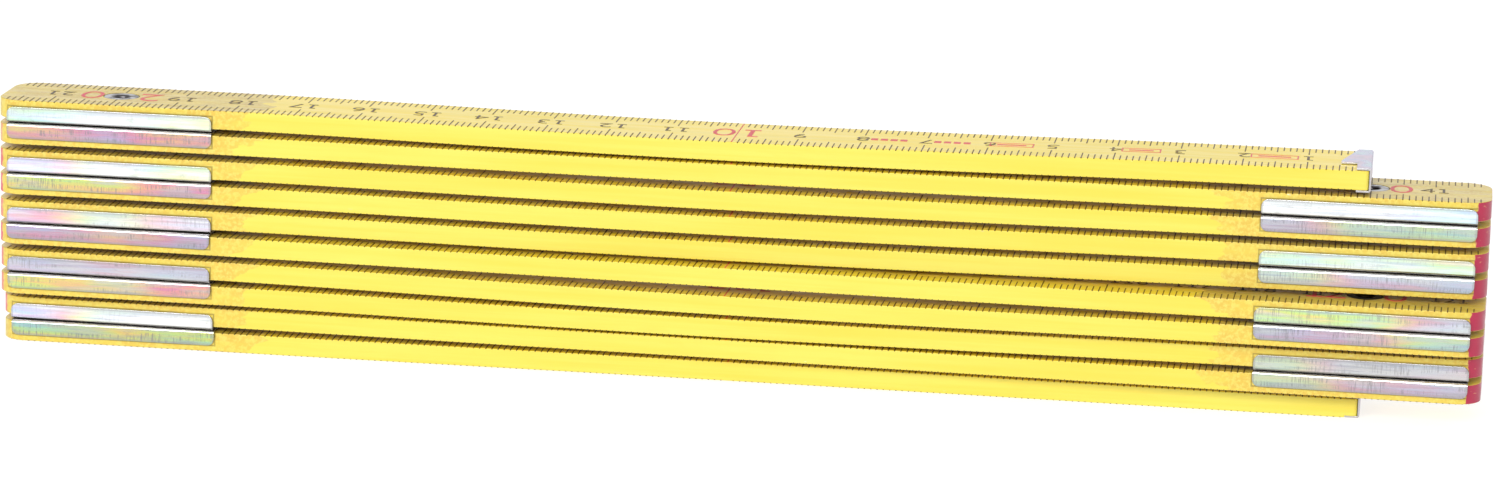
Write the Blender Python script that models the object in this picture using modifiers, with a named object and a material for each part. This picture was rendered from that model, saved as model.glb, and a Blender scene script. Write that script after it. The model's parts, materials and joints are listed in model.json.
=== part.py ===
"""A two-metre wooden folding rule: ten slats, joined one above another by nine riveted hinges.

Row frame: +X along the folded rule, +Y across it, +Z up through the stack. The origin is the middle of
the folded rule's underside. Slat 1, with the zero end, is on top, and slat 10 is at the bottom.
"""

import math

import bmesh
import bpy
from mathutils import Vector

MM = 0.001

# The stack of slats
SLAT_COUNT = 10
PIVOT_SPACING = 200 * MM
END_OVERHANG = 18.75 * MM
SLAT_WIDTH = 16 * MM
SLAT_THICKNESS = 3.1 * MM
SLAT_GAP = 1.0 * MM
END_RADIUS = 4.0 * MM
CAPPED_END_RADIUS = 0.6 * MM
END_FACETS = 5
SLAT_CHAMFER = 0.2 * MM

# The folded sheet of the hinge plates
PLATE_LENGTH = 33.4 * MM
PLATE_SHEET = 0.4 * MM
PLATE_BEND_RADIUS = 0.6 * MM
BEND_FACETS = 3
CORNER_FACETS = 4
FLANGE_HEIGHT = 2.5 * MM
FLANGE_CORNER_RADIUS = 1.2 * MM
FIT_GAP = 0.05 * MM

# The hollow rivets
RIVET_BORE_RADIUS = 1.15 * MM
SHANK_RADIUS = 1.9 * MM
HEAD_RADIUS = 2.85 * MM
TAIL_RADIUS = 2.55 * MM
FLARE_DEPTH = 0.45 * MM
SHANK_CLEARANCE = 0.08 * MM
FACE_RECESS = 0.05 * MM
ROUND_SIDES = 16

# The end caps
CAP_SHEET = 0.3 * MM
CAP_BEND_RADIUS = 0.4 * MM
CAP_LEG = 2.3 * MM
CAP_TONGUE = 4.8 * MM
CAP_TONGUE_SIDE = -3.3 * MM
CAP_TONGUE_TIP = 1.2 * MM

# The folded rule isn't quite squared up: these joints stand out of line with the rest, along Y
JOINT_SWAYS = {6: -4.2 * MM, 7: 0.4 * MM, 8: -1.2 * MM, 9: 2.6 * MM}
# Where the line of the other joints is, so that the middle of the whole stack is at Y = 0
JOINT_LINE = 0.83 * MM

# Cutters run this far past what they cut
CUT_PAST = 2 * MM

# Worked out from the above
SLAT_PITCH = SLAT_THICKNESS + SLAT_GAP
HALF_SPACING = PIVOT_SPACING / 2
CAPPED_END = PIVOT_SPACING - CAP_SHEET - FIT_GAP
HALF_WIDTH = SLAT_WIDTH / 2
BORE_RADIUS = SHANK_RADIUS + SHANK_CLEARANCE
SEAT_DEPTH = FLARE_DEPTH + FACE_RECESS + FIT_GAP


def clear_scene():
    for thing in list(bpy.data.objects):
        bpy.data.objects.remove(thing, do_unlink=True)


def new_collection(name):
    collection = bpy.data.collections.new(name)
    bpy.context.scene.collection.children.link(collection)
    return collection


def material(name, colour, roughness, metallic=0.0):
    made = bpy.data.materials.new(name)
    made.use_nodes = True
    shader = made.node_tree.nodes["Principled BSDF"]
    shader.inputs["Base Color"].default_value = (*colour, 1.0)
    shader.inputs["Roughness"].default_value = roughness
    shader.inputs["Metallic"].default_value = metallic
    return made


def link_object(name, mesh, collection):
    thing = bpy.data.objects.new(name, mesh)
    collection.objects.link(thing)
    return thing


def mesh_from(work, name):
    """Turns a bmesh into a mesh, with its faces pointing out."""
    mesh = bpy.data.meshes.new(name)
    work.to_mesh(mesh)
    work.free()
    return mesh


def box_mesh(name, low, high):
    work = bmesh.new()
    bmesh.ops.create_cube(work, size=1.0)
    size = Vector(high) - Vector(low)
    middle = (Vector(high) + Vector(low)) / 2
    bmesh.ops.scale(work, vec=size, verts=work.verts)
    bmesh.ops.translate(work, vec=middle, verts=work.verts)
    return mesh_from(work, name)


def hide_cutter(cutter):
    cutter.hide_render = True
    cutter.display_type = "WIRE"


def cut_with(thing, cutter):
    boolean = thing.modifiers.new("cut_" + cutter.name, "BOOLEAN")
    boolean.operation = "DIFFERENCE"
    boolean.solver = "EXACT"
    boolean.object = cutter


def finished_mesh(thing, name, sharp_degrees=40):
    """The evaluated mesh of an object with its modifiers applied, shaded smooth; the object is removed."""
    evaluated = thing.evaluated_get(bpy.context.evaluated_depsgraph_get())
    mesh = bpy.data.meshes.new_from_object(evaluated)
    mesh.name = name
    mesh.shade_smooth()
    mesh.set_sharp_from_angle(angle=math.radians(sharp_degrees))
    bpy.data.objects.remove(thing, do_unlink=True)
    return mesh


def turned_object(name, profile, collection, closed=True):
    """Turns a profile of (radius, height) points about Z, listed down its outer side.

    A closed profile goes back up its inner side and makes a ring. An open one starts and ends on the
    axis and makes a solid.
    """
    work = bmesh.new()
    points = [work.verts.new((radius, 0.0, height)) for radius, height in profile]
    ends = points[1:] + points[:1] if closed else points[1:]
    for first, second in zip(points, ends):
        work.edges.new((first, second))
    thing = link_object(name, mesh_from(work, name), collection)
    screw = thing.modifiers.new("turn", "SCREW")
    screw.axis = "Z"
    screw.angle = math.tau
    screw.steps = ROUND_SIDES
    screw.render_steps = ROUND_SIDES
    screw.use_merge_vertices = True
    screw.merge_threshold = 0.000001
    return thing


def seat_cutter(name, seat_radius, collection):
    """A rivet's bore through a slat, with a wider seat in the top face."""
    floor = SLAT_THICKNESS - SEAT_DEPTH
    mouth = SLAT_THICKNESS + CUT_PAST
    profile = (
        (0.0, mouth),
        (seat_radius, mouth),
        (seat_radius, floor),
        (BORE_RADIUS, floor),
        (BORE_RADIUS, -CUT_PAST),
        (0.0, -CUT_PAST),
    )
    cutter = turned_object(name, profile, collection, closed=False)
    hide_cutter(cutter)
    return cutter


# Slats. A slat's own frame: its lower pivot at the origin, its other pivot along +X, its underside at Z = 0.


def slat_blank(name, end, end_radius, collection):
    """A bar with rounded end corners, from behind the lower pivot to end, its long edges just broken."""
    work = bmesh.new()
    low = Vector((-END_OVERHANG, -HALF_WIDTH, 0))
    high = Vector((end, HALF_WIDTH, SLAT_THICKNESS))
    bmesh.ops.create_cube(work, size=1.0)
    bmesh.ops.scale(work, vec=high - low, verts=work.verts)
    bmesh.ops.translate(work, vec=(high + low) / 2, verts=work.verts)
    for at_far_end, radius in ((False, END_RADIUS), (True, end_radius)):
        uprights = []
        for edge in work.edges:
            upright = abs(edge.verts[0].co.z - edge.verts[1].co.z) > SLAT_THICKNESS / 2
            corner = abs(abs(edge.verts[0].co.y) - HALF_WIDTH) < FIT_GAP
            end_x = high.x if at_far_end else low.x
            if upright and corner and abs(edge.verts[0].co.x - end_x) < FIT_GAP:
                uprights.append(edge)
        bmesh.ops.bevel(
            work, geom=uprights, offset=radius, segments=END_FACETS, profile=0.5, affect="EDGES"
        )
    thing = link_object(name, mesh_from(work, name), collection)
    chamfer = thing.modifiers.new("broken_edges", "BEVEL")
    chamfer.width = SLAT_CHAMFER
    chamfer.segments = 1
    chamfer.limit_method = "ANGLE"
    chamfer.angle_limit = math.radians(60)
    return thing


def head_cutter(collection):
    """Bore and seat for the head of a slat's own rivet, in the top face at its lower pivot."""
    return seat_cutter("head_seat", HEAD_RADIUS + SHANK_CLEARANCE, collection)


def tail_cutter(name, across, collection):
    """Bore and seat for the tail of the rivet of the slat above, in the underside."""
    cutter = seat_cutter(name, TAIL_RADIUS + SHANK_CLEARANCE, collection)
    cutter.rotation_euler.x = math.pi
    cutter.location = (across, 0.0, SLAT_THICKNESS)
    return cutter


def cap_rebate_cutter(collection):
    """Takes the underside off the tail end, so that the lower leg of its cap lies flush."""
    depth = CAP_SHEET + FIT_GAP
    start = PIVOT_SPACING - CAP_LEG - FIT_GAP
    low = (start, -HALF_WIDTH - CUT_PAST, -CUT_PAST)
    high = (PIVOT_SPACING + CUT_PAST, HALF_WIDTH + CUT_PAST, depth)
    thing = link_object("cap_rebate", box_mesh("cap_rebate", low, high), collection)
    hide_cutter(thing)
    return thing


def slat_meshes(parts, cutters):
    """The three kinds of slat: the middle ones, the one with the zero end, and the one with the tail end."""
    head = head_cutter(cutters)
    tail = tail_cutter("tail_seat", PIVOT_SPACING, cutters)
    rebate = cap_rebate_cutter(cutters)

    middle = slat_blank("middle", PIVOT_SPACING + END_OVERHANG, END_RADIUS, parts)
    cut_with(middle, head)
    cut_with(middle, tail)

    zero = slat_blank("zero", CAPPED_END, CAPPED_END_RADIUS, parts)
    cut_with(zero, head)

    last = slat_blank("last", CAPPED_END, CAPPED_END_RADIUS, parts)
    cut_with(last, tail_cutter("last_tail_seat", 0.0, cutters))
    cut_with(last, rebate)

    bpy.context.view_layer.update()
    return (
        finished_mesh(middle, "slat_middle"),
        finished_mesh(zero, "slat_zero"),
        finished_mesh(last, "slat_last"),
    )


# Folded sheet. A path of (across, up) points is the outer face of the sheet, square at its bends.


def folded_sheet(name, path, along, length, sheet, bend_radius, collection):
    """An open strip that follows path and runs length along an axis, with its bends rounded, then
    thickened towards the inside of the bends."""
    work = bmesh.new()
    half = Vector(along) * (length / 2)
    side = Vector(along).cross(Vector((0, 0, 1)))
    points = [side * across + Vector((0, 0, up)) - half for across, up in path]
    rail = [work.verts.new(point) for point in points]
    for first, second in zip(rail, rail[1:]):
        work.edges.new((first, second))
    grown = bmesh.ops.extrude_edge_only(work, edges=list(work.edges))
    moved = [item for item in grown["geom"] if isinstance(item, bmesh.types.BMVert)]
    bmesh.ops.translate(work, vec=half * 2, verts=moved)
    work.normal_update()
    inside = sum((vert.co for vert in work.verts), Vector()) / len(work.verts)
    first_face = work.faces[:][0]
    if first_face.normal.dot(inside - first_face.calc_center_median()) > 0:
        bmesh.ops.reverse_faces(work, faces=work.faces)
    bends = [edge for edge in work.edges if len(edge.link_faces) == 2]
    bmesh.ops.bevel(work, geom=bends, offset=bend_radius, segments=BEND_FACETS, profile=0.5, affect="EDGES")
    thing = link_object(name, mesh_from(work, name), collection)
    solidify = thing.modifiers.new("sheet", "SOLIDIFY")
    solidify.thickness = sheet
    solidify.offset = -1.0
    solidify.use_even_offset = True
    return thing


def round_top_corners(mesh, height, radius):
    """Rounds the corners of an open sheet that lie above a height, in the sheet's own plane."""
    work = bmesh.new()
    work.from_mesh(mesh)
    corners = [vert for vert in work.verts if vert.co.z > height]
    bmesh.ops.bevel(
        work, geom=corners, offset=radius, segments=CORNER_FACETS, profile=0.5, affect="VERTICES"
    )
    work.to_mesh(mesh)
    work.free()


def hinge_plate_mesh(parts, cutters):
    """A hinge plate in its own frame: the pivot on Z, the joint's middle plane at Z = 0, flanges up."""
    outside = HALF_WIDTH + FIT_GAP + PLATE_SHEET
    bottom = FIT_GAP
    top = bottom + FLANGE_HEIGHT
    path = ((outside, top), (outside, bottom), (-outside, bottom), (-outside, top))
    plate = folded_sheet("plate", path, (1, 0, 0), PLATE_LENGTH, PLATE_SHEET, PLATE_BEND_RADIUS, parts)
    round_top_corners(plate.data, top - FIT_GAP, FLANGE_CORNER_RADIUS)
    work = bmesh.new()
    bmesh.ops.create_cone(
        work, cap_ends=True, segments=ROUND_SIDES, radius1=BORE_RADIUS, radius2=BORE_RADIUS,
        depth=2 * CUT_PAST,
    )
    bore = link_object("plate_bore", mesh_from(work, "plate_bore"), cutters)
    hide_cutter(bore)
    cut_with(plate, bore)
    bpy.context.view_layer.update()
    return finished_mesh(plate, "hinge_plate")


def rivet_mesh(parts):
    """A hollow rivet in its own frame, with the joint's middle plane at Z = 0."""
    top = SLAT_GAP / 2 + SLAT_THICKNESS - FACE_RECESS
    bottom = -top
    lip = FLARE_DEPTH / 3
    mouth = RIVET_BORE_RADIUS + lip
    profile = (
        (HEAD_RADIUS - lip, top),
        (HEAD_RADIUS, top - lip),
        (HEAD_RADIUS, top - FLARE_DEPTH),
        (SHANK_RADIUS, top - FLARE_DEPTH),
        (SHANK_RADIUS, bottom + FLARE_DEPTH),
        (TAIL_RADIUS, bottom + FLARE_DEPTH),
        (TAIL_RADIUS, bottom + lip),
        (TAIL_RADIUS - lip, bottom),
        (mouth, bottom),
        (RIVET_BORE_RADIUS, bottom + lip),
        (RIVET_BORE_RADIUS, top - lip),
        (mouth, top),
    )
    rivet = turned_object("rivet", profile, parts)
    bpy.context.view_layer.update()
    return finished_mesh(rivet, "rivet")


def cap_mesh(name, upper, lower, parts, cutters):
    """An end cap in the frame of its slat: two legs and an end wall, the upper leg cut to a tongue.

    upper and lower are the heights of the outer faces of the two legs. The cap's end face is at the
    pivot spacing, where the scale ends.
    """
    reach = PIVOT_SPACING - CAP_TONGUE
    path = (
        (reach, upper),
        (PIVOT_SPACING, upper),
        (PIVOT_SPACING, lower),
        (PIVOT_SPACING - CAP_LEG, lower),
    )
    width = SLAT_WIDTH - 2 * SLAT_CHAMFER
    cap = folded_sheet(name, path, (0, 1, 0), width, CAP_SHEET, CAP_BEND_RADIUS, parts)

    notch_low = (reach - CUT_PAST, -SLAT_WIDTH, upper - CUT_PAST / 2)
    notch_high = (PIVOT_SPACING - CAP_LEG, CAP_TONGUE_SIDE, upper + CUT_PAST / 2)
    notch = link_object(name + "_notch", box_mesh("notch", notch_low, notch_high), cutters)

    slope_low = (-SLAT_WIDTH, 0.0, -CUT_PAST / 2)
    slope_high = (SLAT_WIDTH, SLAT_WIDTH, CUT_PAST / 2)
    slope = link_object(name + "_slope", box_mesh("slope", slope_low, slope_high), cutters)
    tip = CAP_TONGUE_SIDE + CAP_TONGUE_TIP
    slope.location = (reach, tip, upper)
    slope.rotation_euler.z = math.atan2(HALF_WIDTH - tip, CAP_TONGUE - CAP_LEG)
    for cutter in (notch, slope):
        hide_cutter(cutter)
        cut_with(cap, cutter)
    bpy.context.view_layer.update()
    return finished_mesh(cap, name)


# Assembly


def slat_floor(number):
    """Height of a slat's underside in the folded stack."""
    return (SLAT_COUNT - number) * SLAT_PITCH


def pivot_place(number):
    """The middle of the joint under a slat: odd joints are at the left end, even ones at the right."""
    along = -HALF_SPACING
    for joint in range(2, number + 1):
        aside = JOINT_SWAYS.get(joint, 0.0) - JOINT_SWAYS.get(joint - 1, 0.0)
        reach = math.sqrt(PIVOT_SPACING**2 - aside**2)
        along += -reach if joint % 2 else reach
    up = slat_floor(number) - SLAT_GAP / 2
    return Vector((along, JOINT_LINE + JOINT_SWAYS.get(number, 0.0), up))


def heading(number):
    """The turn about Z that points a slat from its lower pivot, or its only one, to its other end."""
    if number in (1, SLAT_COUNT):
        return 0.0
    along = pivot_place(number - 1) - pivot_place(number)
    return math.atan2(along.y, along.x)


def add_pivots(parts):
    """One empty on each joint's axis, each held by the next one down, so a joint carries all above it."""
    pivots = {}
    for number in range(SLAT_COUNT - 1, 0, -1):
        pivot = bpy.data.objects.new(f"joint_{number:02d}", None)
        pivot.empty_display_size = 10 * MM
        parts.objects.link(pivot)
        pivot.location = pivot_place(number)
        if number + 1 in pivots:
            pivot.parent = pivots[number + 1]
            pivot.location -= pivot_place(number + 1)
        pivots[number] = pivot
    return pivots


def place(thing, world_place, pivot=None, pivot_at=None, turn=(0.0, 0.0, 0.0)):
    """Puts an object at a world place, held by a joint's empty if one is given."""
    thing.rotation_euler = turn
    thing.location = Vector(world_place)
    if pivot:
        thing.parent = pivot
        thing.location -= pivot_at


def add_piece(name, mesh, look, parts):
    thing = link_object(name, mesh, parts)
    thing.material_slots[0].link = "OBJECT"
    thing.material_slots[0].material = look
    return thing


def build():
    clear_scene()
    parts = new_collection("folding_rule")
    cutters = new_collection("cutters")

    middle, zero, last = slat_meshes(parts, cutters)
    plate = hinge_plate_mesh(parts, cutters)
    rivet = rivet_mesh(parts)
    proud = CAP_SHEET + FIT_GAP
    zero_cap = cap_mesh("end_cap_zero", SLAT_THICKNESS + proud, -proud, parts, cutters)
    tail_cap = cap_mesh("end_cap_tail", SLAT_THICKNESS + proud, 0.0, parts, cutters)
    for mesh in (middle, zero, last, plate, rivet, zero_cap, tail_cap):
        mesh.materials.clear()
        mesh.materials.append(None)

    pivots = add_pivots(parts)
    for number in range(1, SLAT_COUNT + 1):
        mesh = {1: zero, SLAT_COUNT: last}.get(number, middle)
        look = material(f"yellow_lacquer_{number:02d}", (0.93, 0.78, 0.13), 0.4)
        slat = add_piece(f"slat_{number:02d}", mesh, look, parts)
        hung_on = min(number, SLAT_COUNT - 1)
        at = pivot_place(hung_on)
        spot = Vector((at.x, at.y, slat_floor(number)))
        place(slat, spot, pivots.get(number), at, (0.0, 0.0, heading(number)))

    for number in range(1, SLAT_COUNT):
        at = pivot_place(number)
        above = pivots[number]
        below = pivots.get(number + 1)
        below_at = pivot_place(number + 1)
        steel = material(f"zinc_plate_upper_{number:02d}", (0.78, 0.79, 0.8), 0.3, 1.0)
        upper = add_piece(f"hinge_plate_upper_{number:02d}", plate, steel, parts)
        place(upper, at, above, at, (0.0, 0.0, heading(number)))
        steel = material(f"zinc_plate_lower_{number:02d}", (0.78, 0.79, 0.8), 0.3, 1.0)
        lower = add_piece(f"hinge_plate_lower_{number:02d}", plate, steel, parts)
        place(lower, at, below, below_at, (math.pi, 0.0, heading(number + 1)))
        steel = material(f"rivet_steel_{number:02d}", (0.5, 0.51, 0.53), 0.35, 1.0)
        shank = add_piece(f"rivet_{number:02d}", rivet, steel, parts)
        place(shank, at, below, below_at)

    first = pivot_place(1)
    steel = material("cap_steel_zero", (0.7, 0.7, 0.76), 0.35, 1.0)
    cap = add_piece("end_cap_zero", zero_cap, steel, parts)
    place(cap, (first.x, first.y, slat_floor(1)), pivots[1], first)
    steel = material("cap_steel_tail", (0.7, 0.7, 0.76), 0.35, 1.0)
    cap = add_piece("end_cap_tail", tail_cap, steel, parts)
    last_joint = pivot_place(SLAT_COUNT - 1)
    place(cap, (last_joint.x, last_joint.y, slat_floor(SLAT_COUNT)))


build()
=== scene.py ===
"""The looks of a folding rule: lacquered slats with a printed scale, zinc plated hinge plates, rivets
and end caps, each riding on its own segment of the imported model."""

import json
import math

import bmesh
import bpy
from mathutils import Matrix, Vector


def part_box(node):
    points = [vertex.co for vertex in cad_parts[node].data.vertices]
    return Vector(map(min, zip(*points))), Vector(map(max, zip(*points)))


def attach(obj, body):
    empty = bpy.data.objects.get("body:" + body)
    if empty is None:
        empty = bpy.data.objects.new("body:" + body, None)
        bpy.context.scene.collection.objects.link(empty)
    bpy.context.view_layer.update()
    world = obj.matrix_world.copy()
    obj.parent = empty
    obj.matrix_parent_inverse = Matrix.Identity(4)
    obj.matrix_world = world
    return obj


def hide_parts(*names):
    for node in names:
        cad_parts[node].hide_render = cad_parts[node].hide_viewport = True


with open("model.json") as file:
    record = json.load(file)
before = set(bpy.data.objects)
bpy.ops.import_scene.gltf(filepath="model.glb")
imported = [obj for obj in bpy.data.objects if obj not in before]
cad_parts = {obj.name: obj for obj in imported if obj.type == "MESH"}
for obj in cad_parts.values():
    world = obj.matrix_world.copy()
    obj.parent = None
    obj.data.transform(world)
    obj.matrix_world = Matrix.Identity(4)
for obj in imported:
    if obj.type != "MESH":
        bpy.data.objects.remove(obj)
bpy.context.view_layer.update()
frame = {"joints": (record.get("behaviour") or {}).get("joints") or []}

MM = 0.001

# The rule itself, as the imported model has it, in millimetres
SLAT_COUNT = 10
SPACING = 200.0
OVERHANG = 18.75
HALF_WIDTH = 8.0
THICKNESS = 3.1
SLAT_GAP = 1.0
END_RADIUS = 4.0
CAPPED_END_RADIUS = 0.6
CAP_SHEET = 0.3
CAP_FIT = 0.05
CAP_LEG = 2.3
CAP_TONGUE = 4.8
CAP_WIDTH = 15.6
PLATE_LENGTH = 33.4
PLATE_SHEET = 0.4
FLANGE_HEIGHT = 2.5
HEAD_RADIUS = 2.85
TAIL_RADIUS = 2.55
SHANK_RADIUS = 1.9
SEAT_DEPTH = 0.55
SEAT_FIT = 0.08

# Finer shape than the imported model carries
FACE_INSET = 0.03
EDGE_ROUND = 0.13
ROUND_STEPS = 3
CORNER_STEPS = 10
TURN_STEPS = 48
CUTS_ALONG = 40
CUT_PAST = 2.0
PLATE_BEND = 0.6
PLATE_CORNER = 1.1
PLATE_CORNER_STEPS = 7
PLATE_RIM = 0.07
BEND_STEPS = 6
CAP_BEND = 0.4
CAP_RIM = 0.05
CAP_NOTCH_SIDE = -3.3
CAP_TIP_SIDE = -2.1
RIVET_RIM_DROP = 0.05
RIVET_BORE = 1.22
RIVET_MOUTH_ROUND = 0.5
RIVET_RIM_ROUND = 0.16
RIVET_RIM_DEPTH = 0.45
RIVET_RIM_PLAY = 0.04
BOW_REACH = 83.0
BOWS = {
    1: -0.68, 2: -0.17, 3: -0.4, 4: -0.4, 5: -0.38, 6: -0.04, 7: -0.5, 8: -0.42, 9: 0.02, 10: 0.12,
}

# The printed scale
INK_PROUD = 0.0
SIDE_PROUD = 0.012
INK_DEPTH = 0.04
STROKE = 0.18
TICK_END = 0.12
FULL_MARK_END = 0.3
TICK_LENGTHS = {1: 3.0, 5: 4.0, 10: 5.0}
NUMBER_HEIGHT = 3.05
NUMBER_PITCH = 2.5
LONG_NUMBER_PITCH = 2.15
LONG_NUMBER_SHIFT = 3.1
NUMBER_WIDE = 1.1
LONG_NUMBER_WIDE = 0.95
TEN_HEIGHT = 5.6
TEN_WIDE = 1.05
TEN_PITCH = 4.3
RIVET_TEN_PITCH = 9.4
NEXT_DIGIT = 3.1
NUMBER_CLEAR = 4.0
TEN_CLEAR = 9.0
PRINT_MARGIN = 1.3
PLATE_CLEAR = 0.6
CAP_CLEAR = 0.4

# Plain red shapes on the first slat; places are in millimetres on the scale
PANELS = ((11.5, 19.0), (33.0, 39.2), (53.0, 60.0))
PANEL_HALF = 1.4
PANEL_LINE = 0.22
PANEL_MARGIN = 1.2
PANEL_BAR_HALF = 0.35
BLOCK_ROWS = (63.0, 73.0)
BLOCKS_A_ROW = 4
BLOCK_PITCH = 1.55
BLOCK_LENGTH = 1.1
BLOCK_HALF = 0.7


# ---------------------------------------------------------------- Small helpers


def half_at(x, low, high, low_radius, high_radius):
    """Half the width of a slat at a place along it, less where its corners are rounded."""
    for past, radius in ((low + low_radius - x, low_radius), (x - high + high_radius, high_radius)):
        if past > 0:
            return HALF_WIDTH - radius + math.sqrt(max(radius * radius - past * past, 0.0))
    return HALF_WIDTH


def bow_at(number, x):
    """How far a slat stands off its straight line, at a place along it."""
    share = min(abs(x - SPACING / 2) / BOW_REACH, 1.0)
    return BOWS[number] * (1 - share * share) ** 2


def joint_place(number):
    """Where a joint is in plan, in metres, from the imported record."""
    for joint in frame["joints"]:
        if joint["name"] == f"joint_{number:02d}":
            return Vector(joint["pos_m"])
    raise ValueError(f"no joint {number}")


def segment(number):
    return f"segment_{number:02d}"


def slat_span(number):
    """The ends of a slat's wood along its own frame."""
    low = CAP_SHEET + CAP_FIT if number == SLAT_COUNT else -OVERHANG
    high = SPACING - CAP_SHEET - CAP_FIT if number == 1 else SPACING + OVERHANG
    return low, high


def end_radii(number):
    low = CAPPED_END_RADIUS if number == SLAT_COUNT else END_RADIUS
    high = CAPPED_END_RADIUS if number == 1 else END_RADIUS
    return low, high


def slat_frame(number):
    """A slat's own frame: its lower pivot, or its tail end, at the origin, and its other pivot on +X."""
    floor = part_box(f"slat_{number:02d}")[0].z
    if number == SLAT_COUNT:
        upper = joint_place(number - 1)
        start = Vector((upper.x + SPACING * MM, upper.y, floor))
        along = Vector((-1, 0, 0))
    else:
        lower = joint_place(number)
        start = Vector((lower.x, lower.y, floor))
        along = Vector((1, 0, 0))
        if number > 1:
            along = joint_place(number - 1) - lower
            along.z = 0
    turn = math.atan2(along.y, along.x)
    return Matrix.Translation(start) @ Matrix.Rotation(turn, 4, "Z")


def mesh_of(work, name):
    work.normal_update()
    mesh = bpy.data.meshes.new(name)
    work.to_mesh(mesh)
    work.free()
    return mesh


def link(name, mesh):
    thing = bpy.data.objects.new(name, mesh)
    bpy.context.scene.collection.objects.link(thing)
    return thing


def scaled(mesh):
    """Millimetres to metres."""
    mesh.transform(Matrix.Scale(MM, 4))
    return mesh


def baked(thing, name):
    """The mesh of an object with its modifiers applied; the object goes."""
    bpy.context.view_layer.update()
    evaluated = thing.evaluated_get(bpy.context.evaluated_depsgraph_get())
    mesh = bpy.data.meshes.new_from_object(evaluated)
    mesh.name = name
    bpy.data.objects.remove(thing, do_unlink=True)
    return mesh


def settled(thing, name, sharp_degrees=35):
    """The baked mesh, smooth but for its sharp edges, with its large flat faces kept flat."""
    mesh = baked(thing, name)
    mesh.shade_smooth()
    mesh.set_sharp_from_angle(angle=math.radians(sharp_degrees))
    smooth = link(name, mesh)
    weighted = smooth.modifiers.new("even_normals", "WEIGHTED_NORMAL")
    weighted.keep_sharp = True
    weighted.weight = 100
    return baked(smooth, name)


def cut_with(thing, cutters):
    for cutter in cutters:
        boolean = thing.modifiers.new("cut", "BOOLEAN")
        boolean.operation = "DIFFERENCE"
        boolean.solver = "EXACT"
        boolean.object = cutter


def drop(things):
    for thing in things:
        bpy.data.objects.remove(thing, do_unlink=True)


def box(low, high):
    work = bmesh.new()
    bmesh.ops.create_cube(work, size=1.0)
    low, high = Vector(low), Vector(high)
    bmesh.ops.scale(work, vec=high - low, verts=work.verts)
    bmesh.ops.translate(work, vec=(high + low) / 2, verts=work.verts)
    return work


def arc(centre, radius, start, end, steps):
    """Points on an arc, from one angle to another in degrees."""
    points = []
    for step in range(steps + 1):
        angle = math.radians(start + (end - start) * step / steps)
        points.append((centre[0] + radius * math.cos(angle), centre[1] + radius * math.sin(angle)))
    return points


def turned(name, profile, closed):
    """A profile of (radius, height) points turned about Z."""
    work = bmesh.new()
    points = [work.verts.new((radius, 0.0, height)) for radius, height in profile]
    ends = points[1:] + points[:1] if closed else points[1:]
    for first, second in zip(points, ends):
        work.edges.new((first, second))
    thing = link(name, mesh_of(work, name))
    screw = thing.modifiers.new("turn", "SCREW")
    screw.axis = "Z"
    screw.angle = math.tau
    screw.steps = TURN_STEPS
    screw.render_steps = TURN_STEPS
    screw.use_merge_vertices = True
    screw.merge_threshold = 0.0001
    return thing


def add_piece(name, mesh, looks, where, body, slot, *nodes):
    """Puts a finished piece in place, on its body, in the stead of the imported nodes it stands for."""
    piece = link(name, mesh)
    mesh.materials.clear()
    for look in looks:
        mesh.materials.append(look)
    piece.matrix_world = where
    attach(piece, body)
    if nodes:
        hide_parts(*nodes)
    return piece


# ---------------------------------------------------------------- Shader helper


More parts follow.
